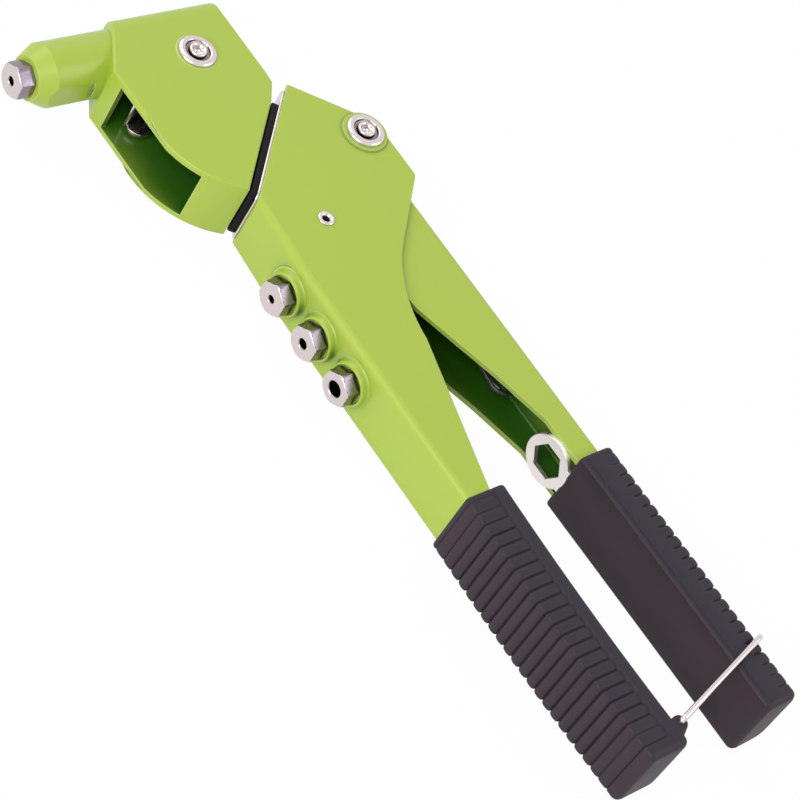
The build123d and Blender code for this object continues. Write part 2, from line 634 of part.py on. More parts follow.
# ---- latch: two wire legs hinged in the fixed grip's lug, one on each side of the moving grip ----
leg_z = grip_half + loose_gap + wire / 2
bail_bend = 1.2
bar_reach = (latch_reach_x - moving_grip_start) * math.tan(math.radians(moving_grip_turn))
bar_y = moving_grip_y + moving_grip_width + bar_reach + loose_gap + wire / 2 + 0.1
bail_corner = 4.0            # left off each leg's free end, where the bar's corner would begin
leg_run = Vector(latch_reach_x - latch_x, bar_y - latch_y, 0)
leg_end = Vector(latch_x, latch_y, 0) + leg_run * (1 - bail_corner / leg_run.length)
bail = Part()
for side in (-1, 1):
    leg = FilletPolyline((latch_x, latch_y, side * (grip_half - stub)), (latch_x, latch_y, side * leg_z),
                         (leg_end.X, leg_end.Y, side * leg_z), radius=bail_bend)
    bail += sweep(Plane(origin=leg @ 0, z_dir=leg % 0) * Circle(wire / 2), path=leg)
    bail += Pos(leg_end.X, leg_end.Y, side * leg_z) * Sphere(wire / 2 - 0.03)
parts["latch_bail"] = bail

# ---- move the rivet hole in the fitted nosepiece to the origin, and write the files -------------------
rivet_mouth = on_nose(barrel_end + nosepiece_hex)
to_origin = Pos(-rivet_mouth.X, -rivet_mouth.Y, 0)
os.makedirs("parts", exist_ok=True)
for name, shape in parts.items():
    export_step(to_origin * shape, "parts/" + name + ".step")
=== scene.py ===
"""Finishes the hand riveter: paint, plating, ribbed grips, fastenings, stage and camera."""

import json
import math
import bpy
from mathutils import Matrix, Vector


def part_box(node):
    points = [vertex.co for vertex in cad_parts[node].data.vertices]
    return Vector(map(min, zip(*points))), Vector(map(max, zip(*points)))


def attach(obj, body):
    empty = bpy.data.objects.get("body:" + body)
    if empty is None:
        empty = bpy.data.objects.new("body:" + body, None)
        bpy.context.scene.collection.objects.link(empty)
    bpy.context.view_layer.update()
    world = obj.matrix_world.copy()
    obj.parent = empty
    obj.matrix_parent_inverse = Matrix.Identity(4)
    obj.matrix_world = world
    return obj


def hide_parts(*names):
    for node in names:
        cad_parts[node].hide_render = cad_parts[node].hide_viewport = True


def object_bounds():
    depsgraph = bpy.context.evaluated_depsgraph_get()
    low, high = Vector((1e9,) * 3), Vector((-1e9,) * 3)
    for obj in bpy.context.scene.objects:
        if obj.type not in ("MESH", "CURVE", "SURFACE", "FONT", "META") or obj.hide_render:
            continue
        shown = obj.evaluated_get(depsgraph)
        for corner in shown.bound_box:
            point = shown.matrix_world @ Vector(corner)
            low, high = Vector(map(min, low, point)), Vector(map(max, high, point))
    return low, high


bl_info = {
    "name": "Hand riveter finishing",
    "version": (1, 0, 0),
    "blender": (4, 5, 0),
    "location": "View3D > Sidebar > Riveter",
    "description": "Paints, plates and grips the packed hand riveter and sets its stage",
    "category": "Object",
}

import bmesh
import bpy
from bpy.props import FloatProperty, FloatVectorProperty, IntProperty, PointerProperty
from mathutils import Matrix, Vector

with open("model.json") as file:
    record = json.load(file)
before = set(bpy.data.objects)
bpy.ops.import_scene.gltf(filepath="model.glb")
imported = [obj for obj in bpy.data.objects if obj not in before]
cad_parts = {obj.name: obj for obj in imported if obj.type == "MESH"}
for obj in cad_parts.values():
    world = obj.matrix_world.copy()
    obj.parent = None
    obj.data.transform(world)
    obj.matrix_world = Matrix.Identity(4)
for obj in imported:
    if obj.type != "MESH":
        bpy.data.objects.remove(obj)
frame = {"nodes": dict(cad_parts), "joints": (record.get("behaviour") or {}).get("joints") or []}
cad_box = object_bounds()
NODES = frame["nodes"]
JOINTS = {joint["name"]: joint for joint in frame["joints"]}
MM = 0.001

PIVOT = Vector(JOINTS["handle_open"]["pos_m"])
HEAD_PIN = Vector(JOINTS["head_lever_turn"]["pos_m"])
NOSE = Vector(JOINTS["jaw_slide"]["axis"]).normalized()
SWIVEL = Vector(JOINTS["head_swivel"]["axis"]).normalized()
UP = Vector((0, 0, 1))

# places and sizes shared by several pieces
BROAD_FACE = 11.0 * MM      # from the middle plane to the outside of the pressed sheet
HEX_FLATS, HEX_TALL = 10.0 * MM, 5.3 * MM
FITTED_HOLE = 2.7 * MM
SPARES = (("2_4", 2.4 * MM), ("3_2", 3.2 * MM), ("4_8", 5.0 * MM))      # name and hole
SPARE_AXIS = Vector((0, -1, 0))                                         # the way their faces look
SWIVEL_POINT = PIVOT + Vector((-7.9 * MM, -30.5 * MM, 0))               # on the swivel's axis
LEVER_TIP = HEAD_PIN + Vector((7.7 * MM, -19.7 * MM, 0))
FIXED_GRIP_AT, MOVING_GRIP_AT = (119.8 * MM, -37.9 * MM), (121.9 * MM, -9.1 * MM)   # from the pivot


# ---- settings ------------------------------------------------------------------------
def length(name, description, default):
    return FloatProperty(name=name, description=description, default=default,
                         unit="LENGTH", precision=5, min=0.0)


def colour(name, description, default):
    return FloatVectorProperty(name=name, description=description, default=default,
                               subtype="COLOR", size=3, min=0.0, max=1.0)


class PaintSettings(bpy.types.PropertyGroup):
    body: colour("Paint", "Colour of the painted sheet", (0.405, 0.540, 0.058))
    # painted highlight: the paler colour laid on the paint along sheet edges
    edge_highlight: colour("Edge", "Colour of the paint along sheet edges", (0.58, 0.72, 0.30))
    # painted shade: the darker green laid in the paint's corners and grooves and deep inside the channels
    hollow_shade: colour("Inside", "Colour of the paint deep inside the pieces", (0.030, 0.135, 0.006))
    peel: length("Orange peel", "Size of the paint's fine ripple", 0.0016)


class MetalSettings(bpy.types.PropertyGroup):
    # the plate's own colour, also laid as a painted highlight along the edges of the bare and blackened steel
    nickel: colour("Nickel", "Colour of the plated pieces", (0.70, 0.61, 0.61))
    # painted shade: the darker colour laid on the nosepieces' hexagon sides against their bright turned faces
    side: colour("Sides", "Colour of the hexagons' dull sides", (0.26, 0.22, 0.26))
    steel: colour("Steel", "Colour of the bare steel pieces", (0.42, 0.41, 0.40))
    # the spring's own black, also used for painted shade deep in the nosepieces' holes and for the black slab
    # that stands in for the shade in the swivel's gap
    black: colour("Blackened steel", "Colour of the spring, the gasket and dark holes", (0.012, 0.012, 0.014))
    plate_roughness: FloatProperty(name="Plate roughness", default=0.2, min=0.0, max=1.0,
                                   description="Roughness of the nickel plate")
    # the wrench's own colour, also laid as a painted glint along the nosepieces' edges
    satin: colour("Satin plate", "Colour of the wrench's dull plate", (0.86, 0.81, 0.79))
    satin_roughness: FloatProperty(name="Satin roughness", default=0.45, min=0.0, max=1.0,
                                   description="Roughness of the wrench's dull plate")


class GripSettings(bpy.types.PropertyGroup):
    plastic: colour("Plastic", "Colour of the moulded grips", (0.034, 0.023, 0.031))
    # painted shade, tinted blue: the colour of the grip faces that look up
    upward_shade: colour("Broad sides", "Colour of the grips' broad sides", (0.024, 0.021, 0.034))
    pitch: length("Rib pitch", "Distance from rib to rib", 3.8 * MM)
    depth: length("Rib depth", "Depth of the grooves between ribs", 0.85 * MM)
    length: length("Length", "Length of each grip", 90.2 * MM)
    half: length("Half thickness", "Half of each grip's thickness", 12.0 * MM)


class FasteningSettings(bpy.types.PropertyGroup):
    flange: length("Pin flange", "Radius of the flanges of the large pins", 6.1 * MM)
    spring_wire: length("Spring wire", "Thickness of the return spring's wire", 1.5 * MM)
    latch_wire: length("Latch wire", "Thickness of the latch's wire", 1.8 * MM)
    steps: IntProperty(name="Steps", description="Sides of a turned piece", default=72, min=12)


class StageSettings(bpy.types.PropertyGroup):
    floor: colour("Floor", "Colour of the floor", (0.93, 0.93, 0.93))
    key: FloatProperty(name="Key light", description="Power of the main lamp", default=10.5,
                       min=0.0, unit="POWER")
    fill: FloatProperty(name="Fill light", description="Power of the second lamp", default=4.0,
                        min=0.0, unit="POWER")
    lens: FloatProperty(name="Lens", description="Focal length of the camera, in millimetres",
                        default=148.7, min=10.0)


# ---- mesh helpers --------------------------------------------------------------------
def mm(*points):
    """Points given in millimetres, as metres."""
    return [tuple(number * MM for number in point) for point in points]


def stand(origin, axis, side=UP):
    """The matrix that takes +Z to axis and +X to side, at origin."""
    axis = axis.normalized()
    side = (side - axis * side.dot(axis)).normalized()
    return Matrix.Translation(origin) @ Matrix((side, axis.cross(side), axis)).transposed().to_4x4()


def turned(bm, profile, steps, place):
    """A turned solid: the profile of (radius, height) pairs, spun about +Z and placed."""
    before = set(bm.verts)
    verts = [bm.verts.new((radius, 0, height)) for radius, height in profile]
    edges = [bm.edges.new(pair) for pair in zip(verts, verts[1:])]
    bmesh.ops.spin(bm, geom=verts + edges, cent=(0, 0, 0), axis=(0, 0, 1), angle=2 * math.pi,
                   steps=steps, use_merge=True)
    made = [v for v in bm.verts if v not in before]
    bmesh.ops.remove_doubles(bm, verts=made, dist=1e-7)
    made = [v for v in bm.verts if v not in before]
    bmesh.ops.transform(bm, matrix=place, verts=made)
    return made


def next_ring(bm, loop):
    """Extrudes a closed loop of edges in place: the new vertices and the loop they make."""
    made = bmesh.ops.extrude_edge_only(bm, edges=loop)["geom"]
    verts = [g for g in made if isinstance(g, bmesh.types.BMVert)]
    return verts, [g for g in made if isinstance(g, bmesh.types.BMEdge) and all(v in verts for v in g.verts)]


def rounded_path(corners, radii, step=MM / 3):
    """Points along straight runs whose corners are arcs, with a radius for each inner corner."""
    path = [corners[0]]
    for before, corner, after, radius in zip(corners, corners[1:], corners[2:], radii):
        back, ahead = (before - corner).normalized(), (after - corner).normalized()
        half = back.angle(ahead) / 2
        centre = corner + (back + ahead).normalized() * radius / math.sin(half)
        start = corner + back * radius / math.tan(half) - centre
        end = corner + ahead * radius / math.tan(half) - centre
        count = max(4, round(start.angle(end) * radius / step))
        path += [centre + start.slerp(end, index / count) * radius for index in range(count + 1)]
    return path + [corners[-1]]


def wire(bm, path, radius, sides=14):
    """A round wire along a path, closed at both ends."""
    def heading(index):
        return (path[min(index + 1, len(path) - 1)] - path[max(index - 1, 0)]).normalized()
    axis = heading(0)
    place = stand(path[0], axis, UP if abs(axis.z) < 0.9 else Vector((1, 0, 0)))
    circle = bmesh.ops.create_circle(bm, segments=sides, radius=radius, matrix=place, cap_ends=True)
    loop = list({edge for vert in circle["verts"] for edge in vert.link_edges})
    for index in range(1, len(path)):
        verts, loop = next_ring(bm, loop)
        turn = heading(index - 1).rotation_difference(heading(index)).to_matrix().to_4x4()
        bmesh.ops.transform(bm, verts=verts, matrix=Matrix.Translation(path[index]) @ turn
                            @ Matrix.Translation(-path[index - 1]))
    bmesh.ops.edgeloop_fill(bm, edges=loop)


def linked_discs(bm, discs, low, high, sides=32, bevel=0.5 * MM):
    """A flat link round discs of (x, y, radius), between two heights, with its rims bevelled."""
    verts = []
    for x, y, radius in discs:
        for height in (low, high):
            place = Matrix.Translation((x, y, height))
            verts += bmesh.ops.create_circle(bm, segments=sides, radius=radius, matrix=place)["verts"]
    hull = bmesh.ops.convex_hull(bm, input=verts)
    spare = {g for g in hull["geom_interior"] + hull["geom_unused"] if isinstance(g, bmesh.types.BMVert)}
    bmesh.ops.delete(bm, geom=list(spare), context="VERTS")
    kept = [v for v in verts if v.is_valid]
    rims = list({e for v in kept for e in v.link_edges
                 if abs(e.verts[0].co.z - e.verts[1].co.z) < 1e-7 and e.calc_face_angle(0.0) > 0.8})
    bmesh.ops.bevel(bm, geom=rims, offset=bevel, segments=2, profile=0.5, affect="EDGES", material=-1)


def finish_piece(bm, name, body, material, replaced=(), sharp=35.0):
    """Makes the mesh an object that rides on a body and stands for CAD nodes."""
    bmesh.ops.recalc_face_normals(bm, faces=bm.faces[:])
    mesh = bpy.data.meshes.new(name)
    bm.to_mesh(mesh)
    bm.free()
    mesh.shade_smooth()
    mesh.set_sharp_from_angle(angle=math.radians(sharp))
    piece = bpy.data.objects.new(name, mesh)
    bpy.context.scene.collection.objects.link(piece)
    mesh.materials.append(material)
    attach(piece, body)
    if replaced:
        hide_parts(*replaced)
    return piece


# ---- materials -----------------------------------------------------------------------
def new_material(name):
    """An empty node material, with its tree, shader and object coordinates."""
    material = bpy.data.materials.get(name)
    if material:
        return material, None, None, None
    material = bpy.data.materials.new(name)
    material.use_nodes = True
    tree = material.node_tree
    shader = tree.nodes["Principled BSDF"]
    coords = tree.nodes.new("ShaderNodeTexCoord").outputs["Object"]
    return material, tree, shader, coords


def noise(tree, coords, size, detail=3.0, roughness=0.5):
    """A noise whose features are about one size, in metres."""
    node = tree.nodes.new("ShaderNodeTexNoise")
    node.inputs["Scale"].default_value = 1.0 / size
    node.inputs["Detail"].default_value = detail
    node.inputs["Roughness"].default_value = roughness
    tree.links.new(coords, node.inputs["Vector"])
    return node.outputs["Fac"]


def spread(tree, value, low, high, out_low, out_high):
    """A linear change of range, clamped."""
    node = tree.nodes.new("ShaderNodeMapRange")
    for index, number in enumerate((low, high, out_low, out_high), 1):
        node.inputs[index].default_value = number
    tree.links.new(value, node.inputs[0])
    return node.outputs[0]


def patches(tree, coords, size, detail=3.0, high=1.0):
    """Soft patches of about one size, in metres, from nothing to a highest value."""
    return spread(tree, noise(tree, coords, size, detail), 0.3, 0.7, 0.0, high)


def blend_colours(tree, factor, first, second):
    """A mix of two colours, each a socket or three numbers."""
    node = tree.nodes.new("ShaderNodeMix")
    node.data_type = "RGBA"
    tree.links.new(factor, node.inputs["Factor"])
    for socket, value in ((node.inputs[6], first), (node.inputs[7], second)):
        if isinstance(value, bpy.types.NodeSocket):
            tree.links.new(value, socket)
        else:
            socket.default_value = (*value, 1.0)
    return node.outputs[2]


def edge_highlight_mask(tree, radius, strength):
    """How much a surface lies on a sharp edge, from its rounded and its true normal: the mask for painted
    highlights along edges.
    """
    rounded = tree.nodes.new("ShaderNodeBevel")
    rounded.samples = 8
    rounded.inputs["Radius"].default_value = radius
    geometry = tree.nodes.new("ShaderNodeNewGeometry")
    dot = tree.nodes.new("ShaderNodeVectorMath")
    dot.operation = "DOT_PRODUCT"
    tree.links.new(rounded.outputs["Normal"], dot.inputs[0])
    tree.links.new(geometry.outputs["Normal"], dot.inputs[1])
    return spread(tree, dot.outputs["Value"], 0.98, 0.80, 0.0, strength)


def hollow_shade_mask(tree, reach, strength, full=0.35, none=0.85):
    """How deep a surface lies in a groove or hole: the mask for painted shade there."""
    hollow_shade = tree.nodes.new("ShaderNodeAmbientOcclusion")
    hollow_shade.samples = 8
    hollow_shade.only_local = True
    hollow_shade.inputs["Distance"].default_value = reach
    return spread(tree, hollow_shade.outputs["AO"], full, none, strength, 0.0)


def ripple(tree, shader, height, strength, distance, edge_radius=0.0):
    """A bump on the shader, over a slightly rounded edge."""
    bump = tree.nodes.new("ShaderNodeBump")
    bump.inputs["Strength"].default_value = strength
    bump.inputs["Distance"].default_value = distance
    tree.links.new(height, bump.inputs["Height"])
    if edge_radius:
        rounded = tree.nodes.new("ShaderNodeBevel")
        rounded.samples = 8
        rounded.inputs["Radius"].default_value = edge_radius
        tree.links.new(rounded.outputs["Normal"], bump.inputs["Normal"])
    tree.links.new(bump.outputs["Normal"], shader.inputs["Normal"])


def green_paint(settings):
    """Semi-gloss light green paint on pressed sheet, with a painted highlight along its edges and painted
    shade in its corners and deep inside the pieces.
    """
    material, tree, shader, coords = new_material("light_green_paint")
    if tree:
        tone = patches(tree, coords, 0.05, 2.0, 0.12)
        base = blend_colours(tree, tone, settings.body, [c * 0.93 for c in settings.body])
        # painted shade: darker green in corners and grooves, and over a wider reach deep inside the channels
        base = blend_colours(tree, hollow_shade_mask(tree, 0.0022, 0.8, 0.35, 0.85), base, settings.hollow_shade)
        base = blend_colours(tree, hollow_shade_mask(tree, 0.030, 1.0, 0.50, 0.93), base, settings.hollow_shade)
        # painted highlight: paler paint along the sheet's edges
        edge = edge_highlight_mask(tree, 0.0007, 0.7)
        tree.links.new(blend_colours(tree, edge, base, settings.edge_highlight), shader.inputs["Base Color"])
        shader.inputs["Roughness"].default_value = 0.36
        shader.inputs["Coat Weight"].default_value = 0.15
        shader.inputs["Coat Roughness"].default_value = 0.12
        ripple(tree, shader, noise(tree, coords, settings.peel, 1.0), 0.12, 0.00012, 0.0004)
    return material


def nickel_plate(settings):
    """Bright nickel plate with faint turning marks, and painted shade deep in its grooves and holes."""
    material, tree, shader, coords = new_material("nickel_plate")
    if tree:
        fine = noise(tree, coords, 0.0009, 4.0)
        shader.inputs["Metallic"].default_value = 1.0
        # painted shade: the nickel turns almost black deep in grooves and holes
        shaded_nickel = [c * 0.07 for c in settings.nickel]
        base = blend_colours(tree, hollow_shade_mask(tree, 0.0018, 0.95, 0.40, 0.92), settings.nickel, shaded_nickel)
        tree.links.new(base, shader.inputs["Base Color"])
        rough = spread(tree, fine, 0.3, 0.7, settings.plate_roughness - 0.05,
                       settings.plate_roughness + 0.08)
        tree.links.new(rough, shader.inputs["Roughness"])
        ripple(tree, shader, fine, 0.10, 0.00004, 0.0003)
    return material


def bare_steel(settings):
    """Oiled ground steel, darker in patches, with a painted highlight along its edges."""
    material, tree, shader, coords = new_material("oiled_steel")
    if tree:
        stain = noise(tree, coords, 0.006, 4.0)
        shader.inputs["Metallic"].default_value = 1.0
        dull = [c * 0.45 for c in settings.steel]
        base = blend_colours(tree, spread(tree, stain, 0.35, 0.65, 0.0, 1.0), settings.steel, dull)
        # painted highlight: the edges take the bright nickel colour
        edge = edge_highlight_mask(tree, 0.0005, 0.9)
        tree.links.new(blend_colours(tree, edge, base, settings.nickel), shader.inputs["Base Color"])
        tree.links.new(spread(tree, stain, 0.3, 0.7, 0.26, 0.42), shader.inputs["Roughness"])
        ripple(tree, shader, noise(tree, coords, 0.0006, 3.0), 0.15, 0.00004, 0.0003)
    return material


def faced_nickel(settings, name, axis):
    """Nickel plate with painted shade, dark on the sides of a piece and bright on its turned face, with a
    painted glint along its edges and black deep in its hole.
    """
    material, tree, shader, coords = new_material(name)
    if tree:
        shader.inputs["Metallic"].default_value = 1.0
        # painted shade: faces that turn away from the piece's axis take the darker side colour
        facing = tree.nodes.new("ShaderNodeVectorMath")
        facing.operation = "DOT_PRODUCT"
        facing.inputs[1].default_value = axis
        normal = tree.nodes.new("ShaderNodeTexCoord").outputs["Normal"]
        tree.links.new(normal, facing.inputs[0])
        turned_face = spread(tree, facing.outputs["Value"], 0.3, 0.85, 0.0, 1.0)
        base = blend_colours(tree, turned_face, settings.side, settings.nickel)
        # painted glint: the edges take the pale satin colour
        edge = edge_highlight_mask(tree, 0.0003, 0.8)
        base = blend_colours(tree, edge, base, settings.satin)
        # painted shade: black deep in the hole
        base = blend_colours(tree, hollow_shade_mask(tree, 0.005, 1.0, 0.35, 0.80), base, settings.black)
        tree.links.new(base, shader.inputs["Base Color"])
        fine = noise(tree, coords, 0.0009, 4.0)
        tree.links.new(spread(tree, fine, 0.3, 0.7, 0.16, 0.30), shader.inputs["Roughness"])
        ripple(tree, shader, fine, 0.10, 0.00004, 0.0003)
    return material


def satin_plate(settings):
    """Dull plate on the pressed wrench."""
    material, tree, shader, coords = new_material("satin_plate")
    if tree:
        fine = noise(tree, coords, 0.0012, 4.0)
        shader.inputs["Metallic"].default_value = 1.0
        shader.inputs["Base Color"].default_value = (*settings.satin, 1.0)
        rough = settings.satin_roughness
        tree.links.new(spread(tree, fine, 0.3, 0.7, rough - 0.05, rough + 0.08), shader.inputs["Roughness"])
        ripple(tree, shader, fine, 0.08, 0.00003, 0.0003)
    return material


def dark_steel(settings):
    """Blackened steel of the swivel, with a painted highlight along its edges."""
    material, tree, shader, coords = new_material("dark_steel")
    if tree:
        cloud = patches(tree, coords, 0.003)
        shader.inputs["Specular IOR Level"].default_value = 0.3
        pale = [c * 0.12 for c in settings.steel]
        base = blend_colours(tree, cloud, settings.black, pale)
        # painted highlight: the edges take the bright nickel colour
        edge = edge_highlight_mask(tree, 0.0004, 0.9)
        tree.links.new(blend_colours(tree, edge, base, settings.nickel), shader.inputs["Base Color"])
        shader.inputs["Roughness"].default_value = 0.34
    return material


def gap_shade_black(settings):
    """Matt black slab that stands in for the shade in the swivel's gap."""
    material, tree, shader, coords = new_material("black_gap_shade")
    if tree:
        cloud = patches(tree, coords, 0.002)
        dark = [c * 0.5 for c in settings.black]
        tree.links.new(blend_colours(tree, cloud, dark, settings.black), shader.inputs["Base Color"])
        shader.inputs["Roughness"].default_value = 0.6
        shader.inputs["Specular IOR Level"].default_value = 0.12
    return material


def blackened_steel(settings):
    """Blackened spring wire."""
    material, tree, shader, coords = new_material("blackened_wire")
    if tree:
        cloud = patches(tree, coords, 0.002)
        pale = [c * 3.0 for c in settings.black]
        tree.links.new(blend_colours(tree, cloud, settings.black, pale), shader.inputs["Base Color"])
        shader.inputs["Roughness"].default_value = 0.32
    return material


def grip_plastic(settings):
    """Dark purple-grey moulded plastic with a fine matt grain, painted shade on its upward faces and in its
    grooves, and a painted highlight along its edges.
    """
    material, tree, shader, coords = new_material("moulded_grip_plastic")
    if tree:
        cloud = patches(tree, coords, 0.012, 4.0)
        pale = [c * 1.25 for c in settings.plastic]
        base = blend_colours(tree, cloud, settings.plastic, pale)
        # painted shade, tinted blue: faces that look up, in world space, take the darker broad-side colour
        geometry = tree.nodes.new("ShaderNodeNewGeometry")
        parts = tree.nodes.new("ShaderNodeSeparateXYZ")
        tree.links.new(geometry.outputs["Normal"], parts.inputs[0])
        upward = spread(tree, parts.outputs["Z"], 0.75, 1.0, 0.0, 0.7)
        base = blend_colours(tree, upward, base, settings.upward_shade)
        # painted shade: darker deep in the grooves between ribs
        hollow_shade, deep = hollow_shade_mask(tree, 0.0018, 0.95, 0.55, 0.97), [c * 0.12 for c in settings.plastic]
        base = blend_colours(tree, hollow_shade, base, deep)
        # painted highlight: paler along the ribs' edges
        edge = edge_highlight_mask(tree, 0.0006, 0.35)
        edge_highlight = [c * 2.2 for c in settings.plastic]
        tree.links.new(blend_colours(tree, edge, base, edge_highlight), shader.inputs["Base Color"])
        tree.links.new(spread(tree, cloud, 0.0, 1.0, 0.50, 0.58), shader.inputs["Roughness"])
        shader.inputs["Specular IOR Level"].default_value = 0.25
        ripple(tree, shader, noise(tree, coords, 0.00045, 3.0), 0.22, 0.00006, 0.0003)
    return material


def seen_directly(tree, paths):
    """One for camera, glossy and transmission rays, so that metal sees the same white."""
    total = paths.outputs["Is Camera Ray"]
    for name in ("Is Glossy Ray", "Is Transmission Ray"):
        add = tree.nodes.new("ShaderNodeMath")
        add.operation = "ADD"
        add.use_clamp = True
        tree.links.new(total, add.inputs[0])
        tree.links.new(paths.outputs[name], add.inputs[1])
        total = add.outputs[0]
    return total


def dress(names, material):
    """Gives CAD pieces a material."""
    for name in names:
        NODES[name].data.materials.clear()
        NODES[name].data.materials.append(material)


# ---- operators -----------------------------------------------------------------------
class RIVETER_OT_paint(bpy.types.Operator):
    """Paint the pressed body, head, barrel and moving handle"""

    bl_idname = "riveter.paint"
    bl_label = "Paint the pressed pieces"

    def execute(self, context):
        paint = green_paint(context.scene.riveter_paint)
        dress(("body_shell", "head_shell", "nose_barrel", "moving_handle"), paint)
        return {"FINISHED"}


class RIVETER_OT_metal(bpy.types.Operator):
    """Finish the plated and bare metal pieces"""

    bl_idname = "riveter.metal"
    bl_label = "Finish the metal pieces"

    def execute(self, context):
        settings = context.scene.riveter_metal
        dress(("main_pivot_washer", "head_pin_washer", "arm_rivet"), nickel_plate(settings))
        dress(("nosepiece_wrench",), satin_plate(settings))
        dress(("jaw_case", "jaws", "jaw_pusher", "jaw_spring", "push_rod", "handle_arm", "arm_spacer"),
              bare_steel(settings))
        dress(("swivel_spigot", "swivel_ring", "swivel_washer"), dark_steel(settings))
        return {"FINISHED"}


class RIVETER_OT_pins(bpy.types.Operator):
    """Turn the two large pins and the tubular rivet"""

    bl_idname = "riveter.pins"
    bl_label = "Turn the pins"

    def execute(self, context):
        settings = context.scene.riveter_fastening
        nickel = nickel_plate(context.scene.riveter_metal)
        for node, body, centre in (("main_pivot_pin", "body", PIVOT), ("head_pin", "head", HEAD_PIN)):
            low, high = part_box(node)
            self.big_pin(node, body, centre, low.z, high.z, settings, nickel)
        self.tubular_rivet(settings, nickel)
        return {"FINISHED"}

    def big_pin(self, node, body, centre, low, high, settings, material):
        """A flanged pin whose staked middle stands in a ring groove."""
        flange, shank, thick = settings.flange, 4.0 * MM, 1.25 * MM
        seat = high - 1.8 * MM
        rim = seat + thick
        # up the shank, up the flange's edge, then in over the ring groove and the stake
        profile = [(0, low), (shank - 0.6 * MM, low), (shank, low + 0.5 * MM), (shank, seat), (flange, seat)]
        profile += [(flange - inward, seat + rise) for inward, rise in
                    mm((0, 0.5), (0.10, 0.8), (0.35, 1.08)) + [(0.8 * MM, thick)]]
        profile += [(radius, rim + rise) for radius, rise in
                    mm((4.35, 0.02), (4.10, -0.05), (3.95, -0.35), (3.85, -1.10), (2.95, -1.15),
                       (2.85, -0.5), (2.70, 0.20), (2.45, 0.45), (2.1, 0.42), (1.75, 0.05), (1.5, -0.45),
                       (0.8, -0.55), (0.35, -0.25), (0, -0.2))]
        bm = bmesh.new()
        place = Matrix.Translation((centre.x, centre.y, 0))
        turned(bm, profile, settings.steps, place)
        # the stake is struck from one side, so its groove is shallower there
        groove_side, stake_side = 2.2, 0.6      # angles about the pin, in radians
        for vert in bm.verts:
            offset = Vector((vert.co.x - centre.x, vert.co.y - centre.y))
            angle = math.atan2(offset.y, offset.x)
            if 2.8 * MM < offset.length < 3.9 * MM and seat < vert.co.z < rim - 0.3 * MM:
                vert.co.z += 0.8 * MM * max(0.0, math.cos(angle - groove_side)) ** 2
            elif offset.length < 1.6 * MM and vert.co.z > seat:
                vert.co.z += 0.55 * MM * max(0.0, math.cos(angle - stake_side)) ** 2
        finish_piece(bm, node + "_turned", body, material, (node,), 50)

    def tubular_rivet(self, settings, material):
        """A small tube rolled over at both ends."""
        low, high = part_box("spring_anchor_rivet")
        centre = (low + high) / 2
        bore, tube, roll = 1.1 * MM, 1.9 * MM, 2.7 * MM
        upper = [(tube, 0), (tube, high.z - 0.7 * MM)]
        upper += [(roll - inward, high.z - drop) for inward, drop in
                  mm((0.1, 0.7), (0, 0.5), (0.15, 0.2), (0.45, 0.03), (0.8, 0.04), (1.15, 0.2))]
        upper += [(bore + 0.12 * MM, high.z - 0.5 * MM), (bore, high.z - 0.9 * MM)]
        lower = [(radius, -height) for radius, height in reversed(upper)][:-1]
        bm = bmesh.new()
        turned(bm, upper + lower + upper[:1], settings.steps // 2,
               Matrix.Translation((centre.x, centre.y, 0)))
        finish_piece(bm, "spring_anchor_rivet_turned", "body", material,
                     ("spring_anchor_rivet",), 60)


